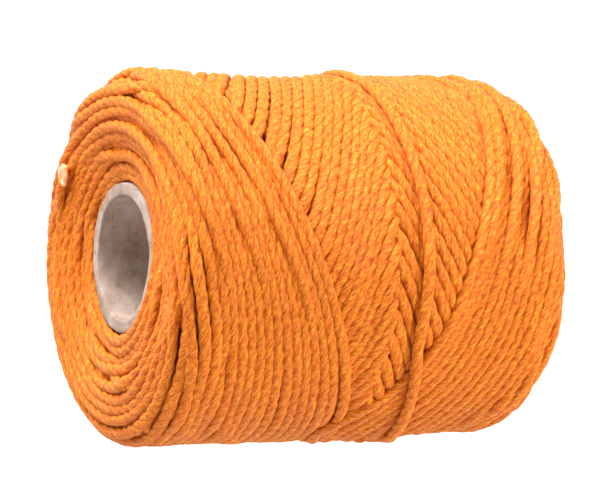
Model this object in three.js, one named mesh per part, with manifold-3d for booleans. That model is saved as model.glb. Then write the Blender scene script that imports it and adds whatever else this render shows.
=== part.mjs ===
// A roll of three-strand twisted builder's line, cross-wound on a short cardboard tube.
//
// Millimetres, +Z up. The roll lies on its side with its axis along X and its near end at -X.
// The origin is on the surface that it lies on, under the middle of the roll.
//
// The line is one continuous strand. It is split here into the stages in which it was wound:
// three stages of bulk winding, the turns that lie across each end face, a cross-wound layer
// whose strands change lean at a seam, a tilted band at each end, and one proud locking turn
// whose end is tucked in. Each stage is a solid of its outer shape.

import * as THREE from "three";
import { mergeVertices } from "three/addons/utils/BufferGeometryUtils.js";
import Module from "manifold-3d";

const wasm = await Module();
wasm.setup();

// Driving dimensions
const LINE_DIAMETER = 1.6;
const GAP = 0.3;
const TUBE_OUTER_RADIUS = 11.5;
const TUBE_BORE_RADIUS = 9.5;
const TUBE_LENGTH = 63;
const ROLL_RADIUS = 28.6;
const ROLL_LENGTH = 64;

// Radii where one winding stage gives way to the next
const INNER_STAGE_RADIUS = 16.6;
const MIDDLE_STAGE_RADIUS = 21.4;
const OUTER_STAGE_RADIUS = 25.6;
const CROSS_LAYER_RADIUS = 28;

// The layer of turns that crosses each end face, and the roll's two shoulders
const FACE_LAYER = 1.9;
const NEAR_SHOULDER = { length: 1.8, depth: 2 };
const FAR_SHOULDER = { length: 4, depth: 2.6 };

// Tilted edges of the outer stages: where each crosses the axis, and how far it leans to +X
// from the axis to the top of the roll
const NEAR_BAND_EDGE = { middle: -10.8, lean: -11.5 };
const CROSS_SEAM = { middle: 1.4, lean: 0.4 };
const FAR_BAND_EDGE = { middle: 12.6, lean: 10 };
const LOCKING_TURN = { middle: 7.3, lean: -2.9, firstAngle: -76, lastAngle: 262, steps: 60 };

// The locking turn is half sunk between the strands that it crosses
const LOCKING_RADIUS = 27.9;
const TUCK_RADIUS = 27.7;
const TUCK_ROUTE = [[-78, 11.2], [-82, 11.1], [-86, 10.2], [-87.5, 9], [-86, 7.8], [-82, 7], [-78, 6.8]];
const TUCK_STEPS = 16;

// The melted end of the line, lying in the near shoulder
const TIP = { angle: 148, along: -31.05, radius: 27.1, length: 3.6, diameter: 1.9 };

const ROLL_SIDES = 24;
const TUBE_SIDES = 48;
const LINE_SIDES = 8;
const CUTTER_SIZE = 200;
const AXIS_HEIGHT = ROLL_RADIUS;

const LINE_MATERIAL = { roughness: 0.62, metalness: 0 };
const ORANGE = 0xf28a22;
const DEEP_ORANGE = 0xd9701a;
const TIP_PEACH = 0xf0b48c;
const CARDBOARD = 0xb7a595;

function surface(color, finish) {
  return new THREE.MeshStandardMaterial({ color, ...finish });
}

function named(name, geometry, material) {
  const mesh = new THREE.Mesh(geometry, material);
  mesh.name = name;
  return mesh;
}

function toSolid(geometry) {
  const bare = geometry.index ? geometry.toNonIndexed() : geometry.clone();
  bare.deleteAttribute("normal");
  bare.deleteAttribute("uv");
  const merged = mergeVertices(bare, 1e-4);
  const vertProperties = Float32Array.from(merged.attributes.position.array);
  const triVerts = Uint32Array.from(merged.index.array);
  return new wasm.Manifold(new wasm.Mesh({ numProp: 3, vertProperties, triVerts }));
}

function toGeometry(solid) {
  const mesh = solid.getMesh();
  const geometry = new THREE.BufferGeometry();
  geometry.setAttribute("position", new THREE.BufferAttribute(mesh.vertProperties, 3));
  geometry.setIndex(new THREE.BufferAttribute(mesh.triVerts, 1));
  const faceted = geometry.toNonIndexed();
  faceted.computeVertexNormals();
  return faceted;
}

// A closed ring about the roll's axis. The outline lists [distance along the roll, radius]
// with its outer side from -X to +X. A radius is measured to the middle of each flat, so that the
// roll rests on a flat of its stated radius.
function ring(outline, sides) {
  const flatToCorner = 1 / Math.cos(Math.PI / sides);
  const points = outline.map(([along, radius]) => new THREE.Vector2(radius * flatToCorner, along));
  points.push(points[0].clone());
  const geometry = new THREE.LatheGeometry(points, sides, Math.PI / sides);
  geometry.rotateZ(-Math.PI / 2);
  return geometry;
}

function plainRing(start, end, innerRadius, outerRadius, sides) {
  const outline = [[start, innerRadius], [start, outerRadius], [end, outerRadius], [end, innerRadius]];
  return ring(outline, sides);
}

// Everything on the +X side (side = 1) or the -X side (side = -1) of a tilted edge, less half a gap
function besideEdge(edge, side) {
  const tilt = Math.atan(edge.lean / ROLL_RADIUS);
  const box = new THREE.BoxGeometry(CUTTER_SIZE, CUTTER_SIZE, CUTTER_SIZE);
  box.translate(side * (CUTTER_SIZE + GAP) / 2, 0, 0);
  box.rotateY(tilt);
  box.translate(edge.middle, 0, 0);
  return toSolid(box);
}

// A point at an angle up from the side that faces -Y, at a radius, and at a place along the roll
function around(angle, radius, along) {
  const turn = THREE.MathUtils.degToRad(angle);
  return new THREE.Vector3(along, -radius * Math.cos(turn), radius * Math.sin(turn));
}

function strand(points, diameter, steps) {
  const radius = diameter / 2;
  const corners = [];
  for (let side = 0; side < LINE_SIDES; side += 1) {
    const turn = (side + 0.5) * 2 * Math.PI / LINE_SIDES;
    corners.push(new THREE.Vector2(radius * Math.cos(turn), radius * Math.sin(turn)));
  }
  const section = new THREE.Shape(corners);
  const extrudePath = new THREE.CatmullRomCurve3(points);
  return new THREE.ExtrudeGeometry(section, { steps, extrudePath, bevelEnabled: false });
}

function lockingTurnStrand(diameter) {
  const { middle, lean, firstAngle, lastAngle, steps } = LOCKING_TURN;
  const points = [];
  for (let step = 0; step <= steps; step += 1) {
    const angle = firstAngle + (lastAngle - firstAngle) * step / steps;
    const rise = Math.sin(THREE.MathUtils.degToRad(angle));
    points.push(around(angle, LOCKING_RADIUS, middle + lean * rise));
  }
  return strand(points, diameter, steps);
}

function tuckStrand(diameter) {
  const points = TUCK_ROUTE.map(([angle, along]) => around(angle, TUCK_RADIUS, along));
  return strand(points, diameter, TUCK_STEPS);
}

// The melted tip: a short rounded slug that lies along the winding
function tipSlug(clearance) {
  const radius = TIP.diameter / 2 + clearance;
  const half = TIP.length / 2 + clearance;
  const profile = [new THREE.Vector2(0, -half)];
  for (const turn of [-60, -30, 0]) {
    const bend = THREE.MathUtils.degToRad(turn);
    const height = radius - half + radius * Math.sin(bend);
    profile.push(new THREE.Vector2(radius * Math.cos(bend), height));
  }
  const upper = profile.map((point) => new THREE.Vector2(point.x, -point.y)).reverse();
  const slug = new THREE.LatheGeometry([...profile, ...upper], LINE_SIDES);
  slug.rotateX(THREE.MathUtils.degToRad(90 - TIP.angle));
  const centre = around(TIP.angle, TIP.radius, TIP.along);
  slug.translate(centre.x, centre.y, centre.z);
  return slug;
}

function coreTube() {
  const end = TUBE_LENGTH / 2;
  return plainRing(-end, end, TUBE_BORE_RADIUS, TUBE_OUTER_RADIUS, TUBE_SIDES);
}

// One stage of the bulk winding, between the two layers of end-face turns
function bulkStage(innerRadius, outerRadius) {
  const end = ROLL_LENGTH / 2 - FACE_LAYER - GAP;
  return plainRing(-end, end, innerRadius + GAP, outerRadius, ROLL_SIDES);
}

function faceTurns(side) {
  const outer = side * ROLL_LENGTH / 2;
  const inner = side * (ROLL_LENGTH / 2 - FACE_LAYER);
  const start = Math.min(outer, inner);
  const end = Math.max(outer, inner);
  return plainRing(start, end, TUBE_OUTER_RADIUS + GAP, OUTER_STAGE_RADIUS, ROLL_SIDES);
}

// The outer winding's full sleeve, with its shoulders, from which both bands are cut
function bandSleeve() {
  const end = ROLL_LENGTH / 2;
  const inner = OUTER_STAGE_RADIUS + GAP;
  const outline = [
    [-end, inner],
    [-end, ROLL_RADIUS - NEAR_SHOULDER.depth],
    [NEAR_SHOULDER.length * 0.35 - end, ROLL_RADIUS - NEAR_SHOULDER.depth * 0.4],
    [NEAR_SHOULDER.length - end, ROLL_RADIUS],
    [end - FAR_SHOULDER.length, ROLL_RADIUS],
    [end - FAR_SHOULDER.length * 0.3, ROLL_RADIUS - FAR_SHOULDER.depth * 0.4],
    [end, ROLL_RADIUS - FAR_SHOULDER.depth],
    [end, inner],
  ];
  return toSolid(ring(outline, ROLL_SIDES));
}

function crossSleeve() {
  const end = ROLL_LENGTH / 2;
  return toSolid(plainRing(-end, end, OUTER_STAGE_RADIUS + GAP, CROSS_LAYER_RADIUS, ROLL_SIDES));
}

function outerStages() {
  const lockingGroove = toSolid(lockingTurnStrand(LINE_DIAMETER + 2 * GAP));
  const tuckPocket = toSolid(tuckStrand(LINE_DIAMETER + 2 * GAP));
  const tipPocket = toSolid(tipSlug(GAP));
  const sleeve = bandSleeve();
  const crossWound = crossSleeve()
    .intersect(besideEdge(NEAR_BAND_EDGE, 1))
    .intersect(besideEdge(FAR_BAND_EDGE, -1))
    .subtract(lockingGroove);
  return {
    near_band: sleeve
      .intersect(besideEdge(NEAR_BAND_EDGE, -1))
      .intersect(besideEdge(FAR_BAND_EDGE, -1))
      .subtract(lockingGroove)
      .subtract(tipPocket),
    far_band: sleeve
      .intersect(besideEdge(FAR_BAND_EDGE, 1))
      .subtract(lockingGroove)
      .subtract(tuckPocket),
    cross_layer_near: crossWound.intersect(besideEdge(CROSS_SEAM, -1)),
    cross_layer_far: crossWound.intersect(besideEdge(CROSS_SEAM, 1)),
  };
}

const roll = new THREE.Group();
roll.position.set(0, 0, AXIS_HEIGHT);

const cardboard = surface(CARDBOARD, { roughness: 0.95, metalness: 0 });
const line = surface(ORANGE, LINE_MATERIAL);
const buriedLine = surface(DEEP_ORANGE, LINE_MATERIAL);
const meltedTip = surface(TIP_PEACH, { roughness: 0.45, metalness: 0 });

roll.add(named("core_tube", coreTube(), cardboard));
roll.add(named("inner_winding", bulkStage(TUBE_OUTER_RADIUS, INNER_STAGE_RADIUS), buriedLine));
roll.add(named("middle_winding", bulkStage(INNER_STAGE_RADIUS, MIDDLE_STAGE_RADIUS), buriedLine));
roll.add(named("outer_winding", bulkStage(MIDDLE_STAGE_RADIUS, OUTER_STAGE_RADIUS), buriedLine));
roll.add(named("near_face_turns", faceTurns(-1), line));
roll.add(named("far_face_turns", faceTurns(1), line));
for (const [name, solid] of Object.entries(outerStages())) {
  roll.add(named(name, toGeometry(solid), line));
}
roll.add(named("locking_turn", lockingTurnStrand(LINE_DIAMETER), line));
roll.add(named("tuck_loop", tuckStrand(LINE_DIAMETER), line));
roll.add(named("sealed_tip", tipSlug(0), meltedTip));

export default roll;
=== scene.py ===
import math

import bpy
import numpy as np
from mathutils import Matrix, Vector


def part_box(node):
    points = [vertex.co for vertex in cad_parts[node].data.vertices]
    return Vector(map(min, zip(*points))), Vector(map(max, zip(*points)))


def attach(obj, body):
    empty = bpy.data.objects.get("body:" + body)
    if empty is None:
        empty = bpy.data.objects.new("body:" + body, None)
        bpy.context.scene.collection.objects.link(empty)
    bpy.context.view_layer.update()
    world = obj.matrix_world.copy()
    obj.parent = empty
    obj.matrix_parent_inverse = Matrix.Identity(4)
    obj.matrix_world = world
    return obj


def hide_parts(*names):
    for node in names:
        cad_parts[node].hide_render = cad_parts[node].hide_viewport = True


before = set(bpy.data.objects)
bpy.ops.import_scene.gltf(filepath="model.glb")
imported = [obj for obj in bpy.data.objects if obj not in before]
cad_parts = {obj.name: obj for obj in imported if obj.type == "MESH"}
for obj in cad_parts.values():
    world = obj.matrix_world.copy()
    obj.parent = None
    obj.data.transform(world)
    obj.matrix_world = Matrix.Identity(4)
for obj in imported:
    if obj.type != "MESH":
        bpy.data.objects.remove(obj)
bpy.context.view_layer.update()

# The visual model of a roll of three-strand twisted line, cross-wound on a cardboard tube.
#
# The line is wound turn by turn, as the real roll is: each turn is laid on a map of the winding's
# height, slips sideways into the hollows beside its neighbours, is pulled taut over what it
# crosses, and then raises the map. Lengths in the winding are millimetres, and angles go up from
# the side that faces -Y. Blender's objects are in metres.

MM = 0.001

# Colours of the line's fibres, the painted shade in the valleys between its strands, the cardboard, the
# painted shade and light along the tube's inside, and the melted tip
LINE_DEEP = (0.62, 0.095, 0.003)
LINE_MIDDLE = (0.84, 0.205, 0.007)
LINE_PALE = (0.98, 0.40, 0.025)
# painted shade for the valleys between the strands
VALLEY_PAINTED_SHADE = (0.90, 0.62, 0.42)
BOARD_DARK = (0.42, 0.325, 0.265)
BOARD_MIDDLE = (0.60, 0.49, 0.43)
BOARD_PALE = (0.76, 0.66, 0.60)
RIM_PAINTED_SHADE = (0.70, 0.66, 0.63)        # painted shade: the cut rim is painted darker than the board inside
# painted light: the board is painted paler further inside the tube, and brighter than its own colour
# deep inside
INNER_PAINTED_SHADE = (0.80, 0.78, 0.76)
DEEP_PAINTED_LIGHT = (1.12, 1.10, 1.08)
TIP_DEEP = (0.74, 0.27, 0.08)
TIP_PALE = (0.86, 0.50, 0.30)
WHITE = (1.0, 1.0, 1.0)

# The line
LINE_RADIUS = 0.8
LOOSE_RADIUS = 0.85          # the cross turns are laid more loosely and spread a little
FLATTENING = 1.24            # the line is this much wider than it is high, where it lies on the roll
PACKED_RADIUS = 0.65         # the line gives a little where it lies on itself
LAY = 8.0                    # length of one full twist of the three strands

# The roll, from the CAD's boxes
tube_low, tube_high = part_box("core_tube")
roll_low, roll_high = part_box("far_band")
AXIS_HEIGHT = (tube_low[2] + tube_high[2]) / 2 / MM
TUBE_RADIUS = (tube_high[2] - tube_low[2]) / 2 / MM
TUBE_HALF = (tube_high[0] - tube_low[0]) / 2 / MM
TUBE_WALL = 2.0
ROLL_RADIUS = (roll_high[2] - roll_low[2]) / 2 / MM
ROLL_HALF = roll_high[0] / MM

# The surface that the outermost turns' centres lie on: two end faces, two shoulders and a barrel
PROUD_ROOM = 0.55            # room for the turns that lie over others
BARREL = ROLL_RADIUS - LINE_RADIUS - PROUD_ROOM
FACE = ROLL_HALF - LINE_RADIUS - 0.1
FAR_FACE = FACE - 0.1
NEAR_SHOULDER = 2.6
FAR_SHOULDER = 4.5
INNERMOST = TUBE_RADIUS + LINE_RADIUS + 0.05     # the centres of the turns that touch the tube

# The height map: one row for each angle and one column for each place along the winding's outline
STEPS = 240
TURN_STEP = 2 * math.pi / STEPS
CELL = 0.2
UNDERLAY = -5.0              # first guess of where the hidden bulk ends, below the centres' surface
DEEPEST = -13.0
SHALLOWEST = -1.4
WALL = 60.0                  # the height beyond the winding's two ends, which no turn climbs

# How the finished winding's height differs: by how much, where along X, and how widely
LEVEL = 0.52                 # the mean height
NEAR_PROUD = (1.1, -2.0, 6.0)            # the near end stands proud, from just past its shoulder
FAR_TAPER = (1.0, 6, 16)                 # the far end is slimmer underneath
FAR_TOP_TAPER = (1.0 / 4, 18, 8)         # and a little slimmer on top
TOP_DIP = (0.6, -8, 9)                   # the cross turns lie a little lower on top
BELOW_WIDTH = 1.0
ABOVE_WIDTH = 1.2
TUBE_SWELL = 1.2             # the near face bulges past the tube's rim low on the side towards -Y
TUBE_SINK = 0.8              # and sinks round the rest of it
TUBE_SPREAD = (1.0, 4.5)
SWELL_ANGLE = 0.95
LEVEL_GAINS = (1.0, 0.9, 0.8, 0.7)       # how much of what is left each trial winding corrects
SETTLE = 0.8
CEILING = -0.35              # centres that stand higher than this over the level are pressed down
PRESSED_DOWN = 0.6
LOCKING_LIFT = 0.15          # the locking turn stands proud
FLOOR_EASE = 1.1             # turns lower than this are pressed flatter by the floor
FLOOR_REST = 0.75
BLUR_ANGLE = 3.5             # in rows
BLUR_ALONG = 9.0             # in columns


def smooth(t):
    t = np.clip(t, 0.0, 1.0)
    return t * t * (3 - 2 * t)


def bell(reach):
    """Weights that add up to 1 and fall off smoothly on both sides."""
    weights = np.hanning(2 * reach + 1)
    return weights / weights.sum()


def placed(name, data):
    """A new object in the scene."""
    made = bpy.data.objects.new(name, data)
    bpy.context.scene.collection.objects.link(made)
    return made


def skin(name, verts, faces):
    """A new smooth mesh object."""
    mesh = bpy.data.meshes.new(name)
    mesh.from_pydata(verts, [], faces)
    mesh.polygons.foreach_set("use_smooth", np.ones(len(mesh.polygons), bool))
    return placed(name, mesh)


def eased(values, reach):
    """The values averaged with those up to the reach before and after them."""
    return np.convolve(np.pad(values, reach, mode="edge"), bell(reach), "valid")


class Outline:
    """The roll's outline as one line, measured so that it equals X on the barrel."""

    def __init__(self):
        self.near_arc = math.pi / 2 * NEAR_SHOULDER
        self.far_arc = math.pi / 2 * FAR_SHOULDER
        self.near_bend = -FACE + NEAR_SHOULDER
        self.far_bend = FAR_FACE - FAR_SHOULDER
        self.low = self.near_bend - self.near_arc - (BARREL - NEAR_SHOULDER - INNERMOST)
        self.high = self.far_bend + self.far_arc + (BARREL - FAR_SHOULDER - INNERMOST)

    def at(self, x):
        """X, radius and outward normal (along X, outward from the axis) at places on the outline."""
        x = np.asarray(x, float)
        near_turn = np.clip((self.near_bend - x) / NEAR_SHOULDER, 0, math.pi / 2)
        far_turn = np.clip((x - self.far_bend) / FAR_SHOULDER, 0, math.pi / 2)
        along = np.clip(x, self.near_bend, self.far_bend)
        along = along - NEAR_SHOULDER * np.sin(near_turn) + FAR_SHOULDER * np.sin(far_turn)
        radius = BARREL - NEAR_SHOULDER * (1 - np.cos(near_turn)) - FAR_SHOULDER * (1 - np.cos(far_turn))
        radius = radius - np.maximum(0, self.near_bend - self.near_arc - x)
        radius = radius - np.maximum(0, x - self.far_bend - self.far_arc)
        return along, radius, np.sin(far_turn) - np.sin(near_turn), np.cos(near_turn) * np.cos(far_turn)


OUTLINE = Outline()
MAP_MARGIN = 3
END_ROOM = 0.7               # the outermost turns' centres keep this far from the map's walls
COLUMNS = np.arange(OUTLINE.low - MAP_MARGIN, OUTLINE.high + MAP_MARGIN + CELL, CELL)
OUTSIDE = (COLUMNS < OUTLINE.low - END_ROOM) | (COLUMNS > OUTLINE.high + END_ROOM)


# ---- where the machine lays the line ----

# A tilted ring has X = middle + lean * sin(angle)
SEAM = (1.2, 0.3)
CROSS_CYCLES = 45
CROSS_FROM = math.radians(-155)
CROSS_RING = -2.2            # the part of the lean that each cross turn has of its own
CROSS_REACH = 25.0           # sets how steeply the turns cross in the middle
TURNING = 36                 # how far from the middle the cross turns turn back
# How that wanders at each end: each wave's size, radians for each traverse, and phase
NEAR_WANDER = ((3.6, 2.4, 0), (1.8, 5.3, 1))
FAR_WANDER = ((3.6, 2.1, 2), (1.8, 4.7, 0))
NEAR_TURNS = 25
NEAR_FIRST = (OUTLINE.low + 0.1, -0.05)
NEAR_HELD = 1                # this many turns are held against the tube
NEAR_CROSSING = 0.6          # the inner turns of the near face cross each other by this much
NEAR_SWINGS = (11, 27)       # how often they do so over the band, and how that goes round the roll
NEAR_OFFSET = 0.3            # the first turns stand this far off the tube on the side away from -Y
NEAR_EDGE = (-11.9, -11.9)
FAR_TURNS = 21
FAR_FIRST = (OUTLINE.high - 0.8, 0.3)
FAR_EDGE = (13.4, 10.0)
FAR_PHASE = math.radians(8)
FAR_DIP = (-5.4, math.radians(-70), math.radians(24))    # how far, where and how widely it dips
LAST_DIP = -1.8              # the last turn dips this much further
# The locking turn: angle in degrees and X
LOCKING_ROUTE = [
    (84, 4.5), (60, 4.9), (40, 5.2), (20, 5.8), (0, 6.1), (-10, 6.0),
    (-22, 5.5), (-32, 6.0), (-40, 6.9), (-50, 8.0), (-60, 8.8), (-78, 10.4),
]
LOCKING_FROM = math.radians(100)
LOCKING_TO = math.radians(-78)
LAST_FAR_SPAN = math.radians(150)
TOP = math.radians(90)
BOTTOM = math.radians(-90)


def tilted(ring, angle):
    return ring[0] + ring[1] * np.sin(angle)


def near_ring(share, angle):
    """Where a turn of the near band lies; its share runs from 0 by the tube to 1 at the edge."""
    middle = NEAR_FIRST[0] + (NEAR_EDGE[0] - NEAR_FIRST[0]) * share
    lean = NEAR_FIRST[1] + (NEAR_EDGE[1] - NEAR_FIRST[1]) * share
    offset = NEAR_OFFSET * (1 - share) * ((1 - np.cos(angle)) / 2) ** 3
    across, onwards = NEAR_SWINGS
    swing = np.sin(across * math.pi * share) * np.cos(angle + onwards * share)
    swing = swing * smooth(share * 8) * (1 - share)
    return middle + lean * np.sin(angle) + offset + NEAR_CROSSING * swing


def around(angle):
    """The same angle, within half a turn either way."""
    return (angle + math.pi) % (2 * math.pi) - math.pi


def far_ring(share, angle):
    middle = FAR_FIRST[0] + (FAR_EDGE[0] - FAR_FIRST[0]) * share
    lean = FAR_FIRST[1] + (FAR_EDGE[1] - FAR_FIRST[1]) * share
    dip = FAR_DIP[0] * share ** 3 * np.exp(-(around(angle - FAR_DIP[1]) / FAR_DIP[2]) ** 2)
    return middle + lean * np.sin(angle + FAR_PHASE) + dip


def last_far_ring(angle):
    extra = LAST_DIP * np.exp(-(around(angle - FAR_DIP[1]) / FAR_DIP[2]) ** 2)
    return far_ring(1.0, angle) + extra


def locking(angle):
    route = sorted(LOCKING_ROUTE)
    degrees = np.degrees(around(angle))
    return np.interp(degrees, [point[0] for point in route], [point[1] for point in route])


GUIDE_WANDER = 0.16          # how unevenly the machine's guide lays the line
WANDER_SEED = 5
WANDER_PERIODS = (0.37, 0.83, 1.9, 4.3)          # in turns
WANDER_SUM = 2.2             # about what the waves of all periods add up to


def wander(turns):
    """A slow, smooth, repeatable wobble along the line."""
    rng = np.random.default_rng(WANDER_SEED)
    total = np.zeros_like(turns)
    for period in WANDER_PERIODS:
        total += np.sin(2 * math.pi * (turns / period + rng.random())) * rng.uniform(0.5, 1)
    return GUIDE_WANDER * total / WANDER_SUM


def waved(value, along, waves):
    """A value with waves added to it, each given as size, rate in radians, and phase."""
    for size, rate, phase in waves:
        value = value + size * np.sin(along * rate + phase)
    return value


def cross_stage(start_angle):
    """Full traverses of two turns each, whose crossing place creeps once round the roll."""
    samples = int((2 * CROSS_CYCLES - 1) * STEPS)
    count = np.arange(samples)
    angle = start_angle - count * TURN_STEP
    crossing = CROSS_FROM + 2 * math.pi * count / samples
    phase = (crossing - angle) / 2
    swing = np.sin(phase)
    cycle = phase / (2 * math.pi)
    middle = tilted((SEAM[0], SEAM[1] - CROSS_RING), crossing) + CROSS_RING * np.sin(angle)
    near_turning = waved(-TURNING, cycle, NEAR_WANDER)
    far_turning = waved(TURNING, cycle, FAR_WANDER)
    turning = np.where(swing < 0, middle - near_turning, far_turning - middle)
    place = middle + CROSS_REACH * swing + (turning - CROSS_REACH) * swing * np.abs(swing) ** 4
    return angle, place


def band_stage(start_angle, turns, ring):
    """The turns of a band, from the one by the tube to the one at its edge."""
    samples = int(turns * STEPS)
    angle = start_angle - np.arange(1, samples + 1) * TURN_STEP
    return angle, ring(np.arange(1, samples + 1) / samples * (1 - 1 / turns), angle)


def link_stage(start_angle, span, from_place, to_place):
    """A stretch that moves from one place to another; the places are functions of the angle."""
    samples = int(round(span / TURN_STEP))
    angle = start_angle - np.arange(1, samples + 1) * TURN_STEP
    share = smooth(np.arange(1, samples + 1) / samples)
    return angle, from_place(angle) * (1 - share) + to_place(angle) * share


def back_to(angle, wanted):
    """How far the winding turns on from an angle until it next reaches the wanted one."""
    return (angle - wanted) % (2 * math.pi)


def wound_path():
    """Angle and place along the outline for the whole outer winding, and each stage's first sample."""
    stages = {}
    angles, places = [], []

    def add(name, part):
        stages[name] = sum(len(x) for x in angles)
        angles.append(part[0])
        places.append(part[1])
        return part[0][-1]

    end = add("cross", cross_stage(0.0))
    held = places[-1][-1]
    near_start = lambda angle: near_ring(0.0, angle)
    near_last = lambda angle: near_ring(1 - 1 / NEAR_TURNS, angle)
    near_end = lambda angle: near_ring(1.0, angle)
    far_start = lambda angle: far_ring(0.0, angle)
    far_last = lambda angle: far_ring(1 - 1 / FAR_TURNS, angle)
    far_end = lambda angle: far_ring(1.0, angle)
    end = add("to_near", link_stage(end, math.pi, lambda angle: held + 0 * angle, near_start))
    end = add("near", link_stage(end, NEAR_HELD * 2 * math.pi, near_start, near_start))
    end = add("near_spread", band_stage(end, NEAR_TURNS, near_ring))
    end = add("near_edge", link_stage(end, back_to(end, BOTTOM), near_last, near_end))
    end = add("to_far", link_stage(end, math.pi, near_end, far_start))
    end = add("far", band_stage(end, FAR_TURNS, far_ring))
    end = add("far_edge", link_stage(end, back_to(end, TOP), far_last, far_end))
    end = add("last_far", link_stage(end, LAST_FAR_SPAN, far_end, last_far_ring))
    end = add("to_locking", link_stage(end, back_to(end, LOCKING_FROM), last_far_ring, locking))
    add("locking", link_stage(end, back_to(end, LOCKING_TO), locking, locking))
    angles, places = np.concatenate(angles), np.concatenate(places)
    turns = np.arange(len(angles)) / STEPS
    steady = smooth((turns - turns[stages["far_edge"]]) * 2)
    places = places + wander(turns) * (1 - 0.7 * steady)
    places = np.clip(eased(places, 6), OUTLINE.low, OUTLINE.high)
    return angles, places, stages


# ---- laying the line on the height map ----

SLIPS = np.arange(-2.0, 2.01, 0.2)       # how far a turn may slip sideways
SLIP_COSTS = {
    "cross": 0.6, "near": 12.0, "near_spread": 0.6, "near_edge": 3.0, "far": 1.2, "far_edge": 3.0,
}
SLIP_BEND_COST = 30.0        # how gradually the line slips sideways
SLIP_EASE = 12
HEIGHT_EASE = 6
GIVE = 0.25                  # how far the line may sink into the turns that it crosses
PRESS = 3.0                  # how much more the turns above press the line down than its own pull
LEAST_DROP = 0.005
TAUT_LEAD = 24               # samples of the line already laid that the next ones are pulled from
STAMP_REACH = 4              # columns on each side that a turn may raise
CHUNK = 80
LOOKAHEAD = 48


def map_rows(angles):
    return np.round(angles / TURN_STEP).astype(int) % STEPS


def lifted(rows):
    """The height at which a line's centre rests, for each column of the rows."""
    reach = int(PACKED_RADIUS / CELL)
    best = np.full_like(rows, -1e9)
    for shift in range(-reach, reach + 1):
        rise = math.sqrt(PACKED_RADIUS ** 2 - (shift * CELL) ** 2)
        best = np.maximum(best, np.roll(rows, -shift, axis=1) + rise)
    return best


def read_rows(rows, places):
    """Each row's value at its own place or places, between columns."""
    spot = (places - COLUMNS[0]) / CELL
    spot = np.clip(spot, 0, len(COLUMNS) - 2)
    low = spot.astype(int)
    part = spot - low
    index = np.arange(len(rows)).reshape(-1, *([1] * (places.ndim - 1)))
    return rows[index, low] * (1 - part) + rows[index, low + 1] * part


def slip_costs(stages, count):
    """How firmly the guide holds the line to its place, at each sample."""
    costs = np.zeros(count)
    for name, cost in SLIP_COSTS.items():
        costs[stages[name]:] = cost
    return costs


def easiest_slips(rest_heights, costs, first):
    """The sideways slip at each sample that lets the line lie low without sharp sideways bends."""
    count = len(rest_heights)
    change = SLIP_BEND_COST * (SLIPS[:, None] - SLIPS[None, :]) ** 2
    cost = rest_heights + costs[:, None] * SLIPS ** 2
    total = cost[0] + SLIP_BEND_COST * (SLIPS - first) ** 2
    back = np.zeros((count, len(SLIPS)), int)
    for i in range(1, count):
        reach = total[None, :] + change
        back[i] = np.argmin(reach, axis=1)
        total = cost[i] + reach[np.arange(len(SLIPS)), back[i]]
    choice = np.zeros(count, int)
    choice[-1] = int(np.argmin(total))
    for i in range(count - 1, 0, -1):
        choice[i - 1] = back[i, choice[i]]
    return SLIPS[choice]


def pulled_taut(support, drop):
    """Raises the line where a taut string would bridge a small hollow."""
    height = support.copy()
    for _ in range(2):
        for stride in (6, 3, 1):
            for _ in range(3):
                middle = (height[:-2 * stride] + height[2 * stride:]) / 2 - drop * stride ** 2
                height[stride:-stride] = np.maximum(height[stride:-stride], middle)
    return height


def wind(angles, places, costs, base):
    """Lays the whole path. Returns the places after slipping, the centres' heights and the map."""
    tops = base.copy()
    tops[:, OUTSIDE] = WALL
    rows_of = map_rows(angles)
    final_places = places.copy()
    heights = np.zeros(len(places))
    slips = np.zeros(len(places))
    start = 0
    while start < len(places):
        stop = min(start + CHUNK, len(places))
        ahead = min(stop + LOOKAHEAD, len(places))
        rows = lifted(tops[rows_of[start:ahead]])
        wanted = places[start:ahead]
        rest = read_rows(rows, wanted[:, None] + SLIPS[None, :])
        slip = easiest_slips(rest, costs[start:ahead], slips[start - 1] if start else 0.0)
        before = slips[max(0, start - SLIP_EASE):start]
        padded = np.concatenate([before, slip, np.full(SLIP_EASE, slip[-1])])
        padded = np.concatenate([np.full(SLIP_EASE - len(before), padded[0]), padded])
        slip = np.convolve(padded, bell(SLIP_EASE), "valid")[:len(slip)]
        lying = np.clip(wanted + slip, OUTLINE.low, OUTLINE.high)
        support = read_rows(rows, lying)
        _, radius, _, outward = OUTLINE.at(lying)
        support = np.concatenate([heights[max(0, start - TAUT_LEAD):start], support])
        lead = len(support) - len(lying)
        drop = PRESS * float(np.mean(radius * outward)) * TURN_STEP ** 2 / 2 + LEAST_DROP
        taut = eased(pulled_taut(support, drop), HEIGHT_EASE)
        taut = np.maximum(taut, support - GIVE)[lead:]
        kept = stop - start
        slips[start:stop] = slip[:kept]
        final_places[start:stop] = lying[:kept]
        heights[start:stop] = taut[:kept]
        near = np.round((lying[:kept] - COLUMNS[0]) / CELL).astype(int)
        for shift in range(-STAMP_REACH, STAMP_REACH + 1):
            column = np.clip(near + shift, 0, len(COLUMNS) - 1)
            away = COLUMNS[column] - lying[:kept]
            inside = np.abs(away) < PACKED_RADIUS
            rise = np.sqrt(np.maximum(PACKED_RADIUS ** 2 - away ** 2, 0))
            row = rows_of[start:stop][inside]
            column = column[inside]
            tops[row, column] = np.maximum(tops[row, column], (taut[:kept] + rise)[inside])
        start = stop
    return final_places, heights, tops


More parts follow.
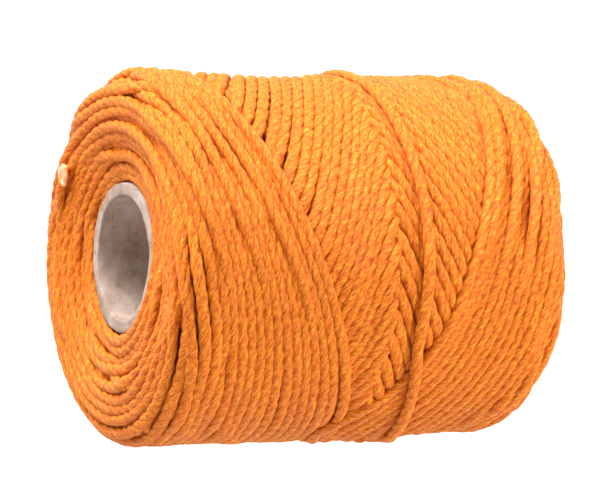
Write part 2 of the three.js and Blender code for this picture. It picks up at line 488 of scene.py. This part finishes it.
def blurred(rows):
    """The map smoothed over a few strands both ways, leaving out the columns beyond the ends."""
    inside = np.where(OUTSIDE, 0.0, 1.0)[None, :] * np.ones((STEPS, 1))
    both = [rows * inside, inside]
    for axis, sigma in ((0, BLUR_ANGLE), (1, BLUR_ALONG)):
        reach = int(3 * sigma)
        weights = np.exp(-np.arange(-reach, reach + 1) ** 2 / (2 * sigma ** 2))
        for index, grid in enumerate(both):
            pad = [(0, 0), (0, 0)]
            pad[axis] = (reach, reach)
            padded = np.pad(grid, pad, mode="wrap" if axis == 0 else "constant")
            total = np.zeros_like(grid)
            for shift, weight in enumerate(weights):
                if axis == 0:
                    total += weight * padded[shift:shift + grid.shape[0]]
                else:
                    total += weight * padded[:, shift:shift + grid.shape[1]]
            both[index] = total
    return both[0] / np.maximum(both[1], 1e-9)


def wanted_level():
    """The finished map's mean height, at each angle and place along the outline."""
    proud, past, width = NEAR_PROUD
    from_shoulder = (COLUMNS - OUTLINE.near_bend + OUTLINE.near_arc - past) / width
    level = LEVEL + proud * np.exp(-from_shoulder ** 2)
    from_tube = (COLUMNS - OUTLINE.low - TUBE_SPREAD[0]) / TUBE_SPREAD[1]
    turned = np.arange(STEPS) * TURN_STEP
    facing = ((1 + np.cos(turned + SWELL_ANGLE)) / 2) ** 3
    level = level + TUBE_SWELL * facing[:, None] * np.exp(-from_tube ** 2)
    level = level - TUBE_SINK * (1 - facing[:, None]) * np.exp(-(2 * from_tube) ** 2)
    below = np.exp(-((around(turned) + TOP) / BELOW_WIDTH) ** 2)
    above = np.exp(-((around(turned) - TOP) / ABOVE_WIDTH) ** 2)
    taper, start, width = FAR_TAPER
    level = level - taper * below[:, None] * smooth((COLUMNS - start) / width)
    dip, middle, width = TOP_DIP
    level = level - dip * above[:, None] * np.exp(-((COLUMNS - middle) / width) ** 2)
    taper, start, width = FAR_TOP_TAPER
    return level - taper * above[:, None] * smooth((COLUMNS - start) / width)


def level_base(angles, places, costs):
    """The hidden bulk's surface, such that the finished winding comes out level."""
    base = np.full((STEPS, len(COLUMNS)), UNDERLAY)
    for gain in LEVEL_GAINS:
        _, _, tops = wind(angles, places, costs, base)
        base = base + gain * (wanted_level() - blurred(tops))
        base = np.clip(base, DEEPEST, SHALLOWEST)
    return base


def settled(angles, places, stages, heights, tops, base):
    """Lowers the broad hills and raises the broad hollows that the levelling has left."""
    change = SETTLE * (wanted_level() - blurred(tops))
    rows_of = map_rows(angles)
    heights = heights + read_rows(change[rows_of], places)
    ceiling = read_rows(wanted_level()[rows_of], places) + CEILING
    pressed = heights - PRESSED_DOWN * np.maximum(0, heights - ceiling)
    loose = smooth((np.arange(len(places)) - stages["to_locking"]) / (STEPS / 4))
    heights = pressed * (1 - loose) + (heights + LOCKING_LIFT) * loose
    return heights, tops + change, base + change


def to_space(angles, places, heights):
    """Points in metres, and the outward direction at each, from angle, place and height."""
    along, radius, out_x, out_r = OUTLINE.at(places)
    reach = radius + heights * out_r
    x = along + heights * out_x
    z = AXIS_HEIGHT + reach * np.sin(angles)
    z = np.where(z > FLOOR_EASE, z, FLOOR_REST + (FLOOR_EASE - FLOOR_REST) * np.exp(
        np.minimum(0, z - FLOOR_EASE) / (FLOOR_EASE - FLOOR_REST)))
    points = np.stack([x, -reach * np.cos(angles), z], 1)
    outward = np.stack([out_x, -out_r * np.cos(angles), out_r * np.sin(angles)], 1)
    return points * MM, outward


# ---- the line's own surface ----

SECTION = 12                 # corners round the line
SHOWN_STEP = 0.5             # between rings, where the line shows
HIDDEN_STEP = 2.4            # and where it doesn't
# Unevenness of the twist and of the thickness: each wave's size, radians for each mm, and phase
TWIST_WAVES = ((0.5, 1 / 7.3, 0), (0.35, 1 / 2.9, 1))
SWELL_WAVES = ((0.025, 1 / 1.7, 0), (0.02, 1 / 5.1, 2))


def lobed(turn):
    """The radius of the three-strand section, for a line of radius 1."""
    return 0.81 + 0.19 * np.abs(np.cos(1.5 * turn)) ** 0.9


def line_mesh(name, points, outward, shown, start_length, coarse=1.0, radius=LINE_RADIUS):
    """A closed, twisted three-strand tube along the points, fine where it shows."""
    steps = np.linalg.norm(np.diff(points, axis=0), axis=1) / MM
    length = np.concatenate([[0], np.cumsum(steps)])
    density = np.where(shown, 1 / SHOWN_STEP, 1 / HIDDEN_STEP) / coarse
    count = np.concatenate([[0], np.cumsum((density[1:] + density[:-1]) / 2 * steps)])
    rings = max(4, int(count[-1]))
    at = np.interp(np.linspace(0, count[-1], rings), count, length)
    centre = np.stack([np.interp(at, length, points[:, k]) for k in range(3)], 1)
    up = np.stack([np.interp(at, length, outward[:, k]) for k in range(3)], 1)
    ahead = np.gradient(centre, axis=0)
    ahead /= np.linalg.norm(ahead, axis=1)[:, None]
    up -= ahead * np.sum(up * ahead, axis=1)[:, None]
    up /= np.linalg.norm(up, axis=1)[:, None]
    side = np.cross(ahead, up)
    total = at + start_length
    twist = waved(2 * math.pi * total / LAY, total, TWIST_WAVES)
    turn = np.arange(SECTION) * 2 * math.pi / SECTION
    swell = waved(1, total, SWELL_WAVES)
    reach = radius * MM * lobed(turn)[None, :] * swell[:, None]
    facing = twist[:, None] + turn[None, :]
    verts = (
        centre[:, None, :]
        + (reach * np.cos(facing))[..., None] * up[:, None, :]
        + (FLATTENING * reach * np.sin(facing))[..., None] * side[:, None, :]
    ).reshape(-1, 3)
    ring = np.arange(rings - 1)[:, None] * SECTION
    corner = np.arange(SECTION)[None, :]
    next_corner = (corner + 1) % SECTION
    quads = np.stack(
        [ring + corner, ring + next_corner, ring + SECTION + next_corner, ring + SECTION + corner], -1
    ).reshape(-1, 4)
    caps = [list(range(SECTION))[::-1], [(rings - 1) * SECTION + k for k in range(SECTION)]]
    mesh = bpy.data.meshes.new(name)
    loops = len(quads) * 4 + 2 * SECTION
    mesh.vertices.add(len(verts))
    mesh.vertices.foreach_set("co", verts.ravel())
    mesh.loops.add(loops)
    mesh.polygons.add(len(quads) + 2)
    corners = np.concatenate([quads.ravel(), caps[0], caps[1]])
    mesh.loops.foreach_set("vertex_index", corners.astype(np.int32))
    starts = np.concatenate([np.arange(len(quads)) * 4, len(quads) * 4 + np.array([0, SECTION])])
    mesh.polygons.foreach_set("loop_start", starts.astype(np.int32))
    mesh.update(calc_edges=True)
    mesh.validate()
    mesh.polygons.foreach_set("use_smooth", np.ones(len(mesh.polygons), bool))
    # The coordinates are the length along the line and the share of the way round, 0..1
    uv = mesh.uv_layers.new(name="line")
    round_it = (corners % SECTION).astype(float)
    wraps = np.zeros(loops, bool)
    wraps[: len(quads) * 4] = np.tile(
        (np.arange(SECTION) == SECTION - 1)[None, :, None], (rings - 1, 1, 4)
    ).ravel() & (round_it[: len(quads) * 4] == 0)
    round_it[wraps] = SECTION
    flat = np.stack([total[corners // SECTION], round_it / SECTION], 1)
    uv.data.foreach_set("uv", flat.ravel().astype(np.float32))
    return placed(name, mesh), length[-1]


# ---- camera ----

CAMERA_AZIMUTH = math.radians(-26)
CAMERA_RANGE = 650.0
PIXELS = (600, 500)
SCALE = 6.5                  # how large a millimetre at the roll's middle comes out, in pixels
SENSOR = 36.0
AIM_LEFT = 1.35              # the camera aims this far left of and above the roll's middle
AIM_UP = 1.2


def make_camera():
    data = bpy.data.cameras.new("camera")
    camera = placed("camera", data)
    towards = np.array([math.sin(CAMERA_AZIMUTH), -math.cos(CAMERA_AZIMUTH), 0])
    right = np.array([math.cos(CAMERA_AZIMUTH), math.sin(CAMERA_AZIMUTH), 0])
    aim = np.array([0, 0, AXIS_HEIGHT]) - right * AIM_LEFT + np.array([0, 0, AIM_UP])
    camera.location = Vector((aim + towards * CAMERA_RANGE) * MM)
    camera.rotation_euler = Vector(-towards).to_track_quat("-Z", "Y").to_euler()
    data.sensor_width = SENSOR
    data.lens = SCALE * CAMERA_RANGE * SENSOR / PIXELS[0]
    data.clip_start = 0.01
    data.clip_end = 10
    data.dof.use_dof = False
    bpy.context.scene.camera = camera


make_camera()


# ---- materials ----

def new_material(name):
    material = bpy.data.materials.new(name)
    material.use_nodes = True
    tree = material.node_tree
    return material, tree, tree.nodes["Principled BSDF"]


def node(tree, kind, **settings):
    made = tree.nodes.new(kind)
    for key, value in settings.items():
        setattr(made, key, value)
    return made


def stretched(tree, source, scale):
    """Coordinates scaled by a different amount each way."""
    mapping = node(tree, "ShaderNodeMapping")
    mapping.inputs["Scale"].default_value = scale
    tree.links.new(source, mapping.inputs["Vector"])
    return mapping.outputs["Vector"]


def noise(tree, vector, scale, detail=2.0, rough=0.5):
    made = node(tree, "ShaderNodeTexNoise")
    made.inputs["Scale"].default_value = scale
    made.inputs["Detail"].default_value = detail
    made.inputs["Roughness"].default_value = rough
    tree.links.new(vector, made.inputs["Vector"])
    return made.outputs["Fac"]


def ramp(tree, value, stops):
    made = node(tree, "ShaderNodeValToRGB")
    marks = made.color_ramp.elements
    while len(marks) < len(stops):
        marks.new(0.5)
    for mark, (place, color) in zip(marks, stops):
        mark.position = place
        mark.color = (*color, 1)
    tree.links.new(value, made.inputs["Fac"])
    return made.outputs["Color"]


def mixed(tree, kind, factor, first, second):
    made = node(tree, "ShaderNodeMix", data_type="RGBA", blend_type=kind)
    made.inputs["Factor"].default_value = factor
    tree.links.new(first, made.inputs[6])
    tree.links.new(second, made.inputs[7])
    return made.outputs[2]


def painted_valley_shade(tree, uv):
    """Painted shade: a darker, redder tint in the three valleys between the strands, for coordinates
    that go round as 0..1.
    """
    split = node(tree, "ShaderNodeSeparateXYZ")
    tree.links.new(uv, split.inputs[0])
    turn = node(tree, "ShaderNodeMath", operation="MULTIPLY")
    tree.links.new(split.outputs["Y"], turn.inputs[0])
    turn.inputs[1].default_value = 3 * math.pi
    wave = node(tree, "ShaderNodeMath", operation="COSINE")
    tree.links.new(turn.outputs[0], wave.inputs[0])
    height = node(tree, "ShaderNodeMath", operation="ABSOLUTE")
    tree.links.new(wave.outputs[0], height.inputs[0])
    return ramp(tree, height.outputs[0], [(0.0, VALLEY_PAINTED_SHADE), (0.5, WHITE)])


def make_line_material():
    """Fine orange fibres that run along the line, with painted shade, darker and redder, in the valleys
    between its strands.
    """
    material, tree, shader = new_material("orange_line")
    uv = node(tree, "ShaderNodeUVMap", uv_map="line").outputs["UV"]
    fibres = noise(tree, stretched(tree, uv, (1.3, 17, 1)), 1.0, 4.0, 0.7)
    fine = noise(tree, stretched(tree, uv, (2.6, 52, 1)), 1.0, 3.0, 0.65)
    shade = noise(tree, stretched(tree, uv, (0.045, 0.6, 1)), 1.0, 2.0)
    colour = ramp(tree, fibres, [(0.38, LINE_DEEP), (0.5, LINE_MIDDLE), (0.62, LINE_PALE)])
    along = ramp(tree, shade, [(0.3, (0.88, 0.8, 0.7)), (0.7, WHITE)])
    colour = mixed(tree, "MULTIPLY", 1.0, colour, along)
    # painted shade: the valleys between the strands are painted darker and redder
    colour = mixed(tree, "MULTIPLY", 1.0, colour, painted_valley_shade(tree, uv))
    tree.links.new(colour, shader.inputs["Base Color"])
    shader.inputs["Roughness"].default_value = 0.42
    shader.inputs["Specular IOR Level"].default_value = 0.22
    shader.inputs["Sheen Weight"].default_value = 0.07
    shader.inputs["Sheen Roughness"].default_value = 0.2
    shader.inputs["Sheen Tint"].default_value = (1.0, 0.78, 0.66, 1)
    height = node(tree, "ShaderNodeMath", operation="ADD")
    tree.links.new(fibres, height.inputs[0])
    tree.links.new(fine, height.inputs[1])
    bump = node(tree, "ShaderNodeBump")
    bump.inputs["Strength"].default_value = 1.0
    bump.inputs["Distance"].default_value = 0.00020
    tree.links.new(height.outputs[0], bump.inputs["Height"])
    tree.links.new(bump.outputs["Normal"], shader.inputs["Normal"])
    return material


RIM_DEPTH = 0.4              # the painted light on the board starts this far inside its near end
PALE_DEPTH = 16              # and is strongest here


def make_cardboard_material():
    """Pressed grey-beige board with brown flecks, painted darker on its near rim than deep inside:
    painted shade at the rim, painted light inside.
    """
    material, tree, shader = new_material("cardboard")
    place = node(tree, "ShaderNodeTexCoord").outputs["Object"]
    pulp = noise(tree, place, 260, 6.0, 0.65)
    blotch = noise(tree, place, 70, 3.0, 0.6)
    fleck = noise(tree, stretched(tree, place, (900, 500, 500)), 1.0, 2.0, 0.7)
    colour = ramp(tree, pulp, [(0.3, BOARD_DARK), (0.52, BOARD_MIDDLE), (0.75, BOARD_PALE)])
    patches = ramp(tree, blotch, [(0.35, (0.78, 0.72, 0.68)), (0.65, WHITE)])
    flecks = ramp(tree, fleck, [(0.30, (0.6, 0.53, 0.47)), (0.38, WHITE)])
    colour = mixed(tree, "MULTIPLY", 0.9, colour, patches)
    colour = mixed(tree, "MULTIPLY", 0.7, colour, flecks)
    along = node(tree, "ShaderNodeSeparateXYZ")
    tree.links.new(place, along.inputs[0])
    depth = node(tree, "ShaderNodeMapRange")
    tree.links.new(along.outputs["X"], depth.inputs["Value"])
    depth.inputs["From Min"].default_value = (-TUBE_HALF + RIM_DEPTH) * MM
    depth.inputs["From Max"].default_value = (-TUBE_HALF + PALE_DEPTH) * MM
    # painted shade on the near rim and painted light deeper inside, by how far along X into the tube
    painted_shade_and_light = [(0.0, RIM_PAINTED_SHADE), (0.35, INNER_PAINTED_SHADE), (1.0, DEEP_PAINTED_LIGHT)]
    inside = ramp(tree, depth.outputs["Result"], painted_shade_and_light)
    colour = mixed(tree, "MULTIPLY", 1.0, colour, inside)
    tree.links.new(colour, shader.inputs["Base Color"])
    shader.inputs["Roughness"].default_value = 0.9
    shader.inputs["Specular IOR Level"].default_value = 0.2
    bump = node(tree, "ShaderNodeBump")
    bump.inputs["Strength"].default_value = 0.8
    bump.inputs["Distance"].default_value = 0.0004
    tree.links.new(pulp, bump.inputs["Height"])
    tree.links.new(bump.outputs["Normal"], shader.inputs["Normal"])
    return material


def make_tip_material():
    """The line's melted end, a pale glassy peach."""
    material, tree, shader = new_material("melted_tip")
    place = node(tree, "ShaderNodeTexCoord").outputs["Object"]
    cloud = noise(tree, place, 900, 3.0)
    colour = ramp(tree, cloud, [(0.35, TIP_DEEP), (0.65, TIP_PALE)])
    tree.links.new(colour, shader.inputs["Base Color"])
    shader.inputs["Roughness"].default_value = 0.3
    shader.inputs["Subsurface Weight"].default_value = 0.4
    shader.inputs["Subsurface Radius"].default_value = (1.0, 0.6, 0.4)
    shader.inputs["Subsurface Scale"].default_value = 0.001
    return material


# ---- the wound line ----

angles, places, stages = wound_path()
costs = slip_costs(stages, len(places))
base = level_base(angles, places, costs)
places, heights, tops = wind(angles, places, costs, base)
heights, tops, base = settled(angles, places, stages, heights, tops, base)
points, outward = to_space(angles, places, heights)

SHOWN_REACH = 3              # columns on each side of a turn that are looked at
SHOWN_DEPTH = 0.12


def which_show():
    """True for each sample of the line that reaches the finished surface."""
    rows_of = map_rows(angles)
    near = np.round((places - COLUMNS[0]) / CELL).astype(int)
    shown = np.zeros(len(places), bool)
    for shift in range(-SHOWN_REACH, SHOWN_REACH + 1):
        column = np.clip(near + shift, 0, len(COLUMNS) - 1)
        away = COLUMNS[column] - places
        own = heights + np.sqrt(np.maximum(PACKED_RADIUS ** 2 - away ** 2, 0))
        shown |= tops[rows_of, column] - own < SHOWN_DEPTH
    for reach in (1, 2, 4):
        shown = shown | np.roll(shown, reach) | np.roll(shown, -reach)
    return shown


shown = which_show()

line_material = make_line_material()


# ---- the line's two loose ends ----

# The tuck loop under the roll: angle in degrees and X
TUCK_ROUTE = [
    (-78, 10.4), (-82, 11.4), (-86, 11.8), (-89, 11.0),
    (-90.5, 9.8), (-90, 8.6), (-87, 7.6), (-82, 7.1),
]
TUCK_RADIUS = 27.9
TUCK_POINTS = 40
LAP_LENGTH_BEFORE = 3.0      # where in its twist each loose end starts
TAIL_LENGTH_BEFORE = 11.0
TAIL_FROM = math.radians(226)
TAIL_TO = math.radians(146)
TAIL_PLACE = OUTLINE.near_bend - 7.4
TAIL_SWAY = 0.5
TAIL_POINTS = 160
TAIL_SUNK = 0.6              # how deep the tail lies between the turns of the near shoulder
TAIL_START_SUNK = 1.2        # and how much deeper it starts
TIP_HALF = (1.8, 1.65, 0.6)  # half of the melted tip's length, width and thickness
TIP_ROWS = 25
TIP_COLUMNS = 40
TIP_LIFT = 0.15              # how far over the tail its middle is
TIP_AHEAD = 0.7              # the tip's middle is this share of its half length past the tail
TIP_DIMPLE = (1.1, 0.5)      # how deep its dimple is and how wide, as shares
TIP_SEED = 41


def tuck_loop_points():
    """The loop's centres and outward directions, evenly eased between the route's points."""
    share = np.linspace(0, len(TUCK_ROUTE) - 1, TUCK_POINTS)
    degrees = np.interp(share, np.arange(len(TUCK_ROUTE)), [row[0] for row in TUCK_ROUTE])
    x = np.interp(share, np.arange(len(TUCK_ROUTE)), [row[1] for row in TUCK_ROUTE])
    angle = np.radians(degrees)
    z = np.maximum(AXIS_HEIGHT + TUCK_RADIUS * np.sin(angle), LINE_RADIUS)
    centre = np.stack([x, -TUCK_RADIUS * np.cos(angle), z], 1) * MM
    return centre, np.stack([0 * angle, -np.cos(angle), np.sin(angle)], 1)


def make_locking_lap():
    """The last lap: off the far band, once round the roll, and tucked in under it."""
    lap, lap_up = points[stages["to_locking"]:], outward[stages["to_locking"]:]
    loop, loop_up = tuck_loop_points()
    up = np.concatenate([lap_up, loop_up])
    centre = np.stack([eased(each, 4) for each in np.concatenate([lap, loop]).T], 1)
    shows = np.ones(len(centre), bool)
    piece, length = line_mesh("locking_turn_line", centre, up, shows, LAP_LENGTH_BEFORE)
    piece.data.materials.append(line_material)
    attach(piece, "root")
    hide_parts("locking_turn", "tuck_loop")


def make_tail():
    """The other end's tail, which rises out of the near shoulder and carries the melted tip."""
    angle = np.linspace(TAIL_FROM, TAIL_TO, TAIL_POINTS)
    share = np.linspace(0, 1, TAIL_POINTS)
    place = TAIL_PLACE + TAIL_SWAY * np.sin(share * 4)
    rest = eased(read_rows(lifted(tops[map_rows(angle)]), place), 15)
    height = rest - TAIL_SUNK - TAIL_START_SUNK * smooth(1 - share * 4)
    centre, up = to_space(angle, place, height)
    shows = np.ones(len(centre), bool)
    tail, length = line_mesh("tail_line", centre, up, shows, TAIL_LENGTH_BEFORE)
    tail.data.materials.append(line_material)
    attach(tail, "root")
    return centre, up, tail, length


def make_tip(centre, up):
    """The melted tip: a flattened glassy drop with a thick ragged rim and a dimple."""
    ahead = centre[-1] - centre[-5]
    ahead /= np.linalg.norm(ahead)
    out = up[-1] - ahead * np.dot(up[-1], ahead)
    out /= np.linalg.norm(out)
    side = np.cross(ahead, out)
    middle = centre[-1] + ahead * TIP_HALF[0] * TIP_AHEAD * MM + out * TIP_LIFT * MM
    rng = np.random.default_rng(TIP_SEED)
    verts = []
    for row in range(TIP_ROWS + 1):
        rise = math.pi * row / TIP_ROWS
        for column in range(TIP_COLUMNS):
            turn = 2 * math.pi * column / TIP_COLUMNS
            reach = math.sin(rise)
            a = reach * math.cos(turn)
            b = reach * math.sin(turn)
            c = math.cos(rise)
            flat = math.hypot(a, b)
            uneven = 1 + 0.07 * math.sin(3 * turn + 1) + 0.06 * math.sin(7 * turn) * reach
            uneven += rng.uniform(-0.025, 0.025) if 0 < row < TIP_ROWS else 0
            dimple = 1 - TIP_DIMPLE[0] * math.exp(-(flat / TIP_DIMPLE[1]) ** 2) if c > 0 else 1
            lift = c * TIP_HALF[2] * dimple
            across = ahead * a * TIP_HALF[0] * uneven + side * b * TIP_HALF[1] * uneven
            verts.append(tuple(middle + (across + out * lift) * MM))
            if row in (0, TIP_ROWS):
                break

    def index(row, column):
        if row == 0:
            return 0
        if row == TIP_ROWS:
            return len(verts) - 1
        return 1 + (row - 1) * TIP_COLUMNS + column % TIP_COLUMNS

    faces = []
    for row in range(TIP_ROWS):
        for column in range(TIP_COLUMNS):
            corners = [index(row, column), index(row + 1, column),
                       index(row + 1, column + 1), index(row, column + 1)]
            faces.append(list(dict.fromkeys(corners)))
    tip = skin("melted_tip", verts, faces)
    tip.data.materials.append(make_tip_material())
    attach(tip, "root")
    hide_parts("sealed_tip")
    return tip


make_locking_lap()
tail_centre, tail_up, tail, tail_length = make_tail()
tip = make_tip(tail_centre, tail_up)


# ---- the outer winding's turns ----

GROUPS = [
    ("cross_turns", "cross", "near", 6, ["cross_layer_near", "cross_layer_far", "outer_winding"]),
    ("near_turns", "near", "to_far", 2, ["near_band", "near_face_turns"]),
    ("far_turns", "to_far", "to_locking", 2, ["far_band", "far_face_turns"]),
]
wound_length = 0.0
for group, first, after, parts, nodes in GROUPS:
    cuts = np.linspace(stages[first], stages[after], parts + 1).astype(int)
    for number in range(parts):
        low, high = max(0, cuts[number] - 2), min(cuts[number + 1] + 3, len(angles))
        radius = LOOSE_RADIUS if group == "cross_turns" else LINE_RADIUS
        piece, length = line_mesh(
            f"{group}_{number + 1}", points[low:high], outward[low:high], shown[low:high],
            wound_length, radius=radius)
        wound_length += length
        piece.data.materials.append(line_material)
        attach(piece, "root")
        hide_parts(*nodes)


# ---- the hidden bulk ----

BULK_LAYERS = 7
BULK_PITCH = 1.62
BULK_STEPS = 60              # samples for each turn
BULK_DEPTH = 8.0             # first guess of how thick the bulk is
BULK_UNDER = -1.2            # the bulk's surface is at least this far under the finished one
BULK_SHORT = 4               # the layers stop about this far before the faces
BULK_STEP_FACTOR = 1.3       # the bulk is made of longer steps


def bulk_path(first_layer, after_layer):
    """Level-wound layers between the tube and the outer winding's underside."""
    rise = 2 * math.pi / BULK_STEPS
    face_reach = OUTLINE.near_arc + BARREL - NEAR_SHOULDER
    xs, radii, turned = [], [], []
    angle = 0.0
    for layer in range(first_layer, after_layer):
        share = layer / (BULK_LAYERS - 1)
        count = int(2 * (FACE - BULK_SHORT) / BULK_PITCH) * BULK_STEPS
        steps = np.arange(count)
        bend = angle - steps * rise
        along = steps / count if layer % 2 == 0 else 1 - steps / count
        rows = base[map_rows(bend)]
        radius = np.full(count, INNERMOST + share * BULK_DEPTH)
        for _ in range(3):
            near_place = OUTLINE.near_bend - face_reach + radius
            far_place = OUTLINE.far_bend + OUTLINE.far_arc + BARREL - FAR_SHOULDER - radius
            low = -FACE - np.minimum(read_rows(rows, near_place), BULK_UNDER) + LINE_RADIUS
            high = FAR_FACE + np.minimum(read_rows(rows, far_place), BULK_UNDER) - LINE_RADIUS
            x = low + (high - low) * along
            outer = BARREL + np.minimum(read_rows(rows, x), BULK_UNDER) - LINE_RADIUS / 2
            radius = INNERMOST + share * (outer - INNERMOST)
        xs.append(x)
        radii.append(radius)
        turned.append(bend)
        angle = bend[-1] - rise
    x, radius = eased(np.concatenate(xs), 6), eased(np.concatenate(radii), 6)
    turned = np.concatenate(turned)
    out_y, out_z = -np.cos(turned), np.sin(turned)
    points = np.stack([x, radius * out_y, AXIS_HEIGHT + radius * out_z], 1) * MM
    return points, np.stack([np.zeros_like(x), out_y, out_z], 1)


bulk_length = 0.0
for name, first, after, stage, fine in (
    ("bulk_turns_1", 0, 3, "inner_winding", False),
    ("bulk_turns_2", 3, 5, "middle_winding", False),
    ("bulk_turns_3", 5, 6, "middle_winding", False),
    ("bulk_turns_4", 6, 7, "middle_winding", True),
):
    centre, up = bulk_path(first, after)
    shows = np.full(len(centre), fine)
    piece, length = line_mesh(name, centre, up, shows, bulk_length, coarse=BULK_STEP_FACTOR)
    bulk_length += length
    piece.data.materials.append(line_material)
    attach(piece, "root")
    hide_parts(stage)


# ---- the cardboard tube ----

TUBE_CORNERS = 240
RAGGED_WAVES = (2, 3, 5, 9, 17, 31, 53)
RIM_INSET = 0.25             # the cut ends stand back from the tube's full length
SKIN_INSET = 0.12            # the board's outside stands back from the line's innermost turns
BORE_INSET = 0.08
NEAR_RAGGED = 0.13           # how uneven the cut is at each end
FAR_RAGGED = 0.09
RIM_ROWS = 5
OUTSIDE_ROWS = 41
BORE_ROWS = 61
PLY_SEAM = (4.2, 0.42, 0.10)     # the spiral seam's turns, its climb and its height


def ragged(seed, size):
    """A fine, uneven edge round the tube, another one for each seed."""
    angle = np.arange(TUBE_CORNERS) * 2 * math.pi / TUBE_CORNERS
    rng = np.random.default_rng(seed)
    total = np.zeros_like(angle)
    for waves in RAGGED_WAVES:
        total += np.sin(waves * angle + rng.uniform(0, 6.28)) * rng.uniform(0.5, 1) / waves ** 0.55
    return size * total


def make_tube():
    """The tube as one closed skin: outside, rough rims and inside, with a spiral ply seam."""
    turn = np.arange(TUBE_CORNERS) * 2 * math.pi / TUBE_CORNERS
    bore = TUBE_RADIUS - TUBE_WALL
    outside = TUBE_RADIUS - SKIN_INSET
    cut_step = (TUBE_WALL - 0.45) / (RIM_ROWS - 1)
    near_rim = -TUBE_HALF + RIM_INSET + ragged(11, NEAR_RAGGED)
    far_rim = TUBE_HALF - RIM_INSET + ragged(12, FAR_RAGGED)
    rows = []

    def add(x, radius):
        rows.append(np.stack([x, -radius * np.cos(turn), AXIS_HEIGHT + radius * np.sin(turn)], 1))

    for share in np.linspace(0, 1, OUTSIDE_ROWS):
        x = near_rim + 0.35 + (far_rim - near_rim - 0.7) * share
        add(x, outside + ragged(100 + int(share * 40), 0.015))
    add(far_rim - 0.08, outside - 0.05 + ragged(21, 0.05))
    for step in range(RIM_ROWS):
        radius = outside - 0.2 - cut_step * step + ragged(22, 0.03)
        add(far_rim + ragged(31 + step, 0.05), radius)
    add(far_rim - 0.1, bore + 0.06 + ragged(23, 0.05))
    for share in np.linspace(1, 0, BORE_ROWS):
        x = near_rim + 0.4 + (far_rim - near_rim - 0.8) * share
        turns, climb, height = PLY_SEAM
        from_seam = (turn * turns - x * climb + 40) % (2 * math.pi) - math.pi
        seam = np.exp(-from_seam ** 2 / 0.002)
        dent = 0.05 * np.sin(x * 0.5 + turn * 2) + 0.04 * np.sin(x * 0.9 - turn * 3)
        add(x, bore + BORE_INSET + dent + height * seam + ragged(200 + int(share * 60), 0.012))
    add(near_rim + 0.1, bore + 0.05 + ragged(24, 0.11))
    for step in range(RIM_ROWS):
        radius = bore + 0.2 + cut_step * step + ragged(25, 0.05)
        add(near_rim + ragged(41 + step, 0.13), radius)
    add(near_rim + 0.08, outside - 0.06 + ragged(26, 0.05))
    verts = np.concatenate(rows) * MM
    count = len(rows)
    faces = []
    for row in range(count):
        after = (row + 1) % count
        for corner in range(TUBE_CORNERS):
            onwards = (corner + 1) % TUBE_CORNERS
            faces.append((after * TUBE_CORNERS + corner, after * TUBE_CORNERS + onwards,
                          row * TUBE_CORNERS + onwards, row * TUBE_CORNERS + corner))
    tube = skin("cardboard_tube", verts.tolist(), faces)
    tube.data.materials.append(make_cardboard_material())
    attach(tube, "root")
    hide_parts("core_tube")


make_tube()


# ---- light and floor ----

# Each light's name, place, size and power, in metres and watts
LIGHTS = (
    ("key", (-0.20, -0.06, 0.60), 0.42, 10.15),
    ("left", (-0.50, -0.02, 0.34), 0.30, 1.3),
    ("right", (0.18, -0.19, 0.01), 0.12, 1.05),
)
LIT_POINT = (0, 0, 0.028)
FILL_LIGHT = 0.24
BACKDROP_GLOW = 1.2
# The backdrop in metres: half its width, its front, where it bends up, the bend's radius, its top
BACKDROP = (2.5, -2.0, 0.6, 0.6, 2.5)
BEND_STEPS = 12


def make_light(name, place, size, power):
    data = bpy.data.lights.new(name, "AREA")
    data.shape = "DISK"
    data.size = size
    data.energy = power
    light = placed(name, data)
    light.location = place
    light.rotation_euler = (Vector(LIT_POINT) - Vector(place)).to_track_quat("-Z", "Y").to_euler()


def make_backdrop():
    """A white paper sweep: a floor that turns up into a wall behind the roll."""
    mesh = bpy.data.meshes.new("backdrop")
    half, front, back, bend, wall = BACKDROP
    profile = [(front, 0.0), (back, 0.0)]
    for step in range(1, BEND_STEPS + 1):
        turn = math.pi / 2 * step / BEND_STEPS
        profile.append((back + bend * math.sin(turn), bend * (1 - math.cos(turn))))
    profile.append((back + bend, wall))
    verts = [(side * half, y, z) for y, z in profile for side in (-1, 1)]
    faces = [(2 * i, 2 * i + 1, 2 * i + 3, 2 * i + 2) for i in range(len(profile) - 1)]
    mesh.from_pydata(verts, [], faces)
    backdrop = placed("backdrop", mesh)
    backdrop.rotation_euler = (0, 0, CAMERA_AZIMUTH)
    material, tree, shader = new_material("backdrop")
    shader.inputs["Base Color"].default_value = (0.03, 0.03, 0.03, 1)
    shader.inputs["Emission Color"].default_value = (1, 1, 1, 1)
    shader.inputs["Emission Strength"].default_value = BACKDROP_GLOW
    shader.inputs["Roughness"].default_value = 0.95
    mesh.materials.append(material)


for light in LIGHTS:
    make_light(*light)
make_backdrop()
world = bpy.data.worlds.new("studio")
bpy.context.scene.world = world
world.use_nodes = True
world.node_tree.nodes["Background"].inputs["Color"].default_value = (1, 1, 1, 1)
world.node_tree.nodes["Background"].inputs["Strength"].default_value = FILL_LIGHT
bpy.context.scene.view_settings.view_transform = "Standard"
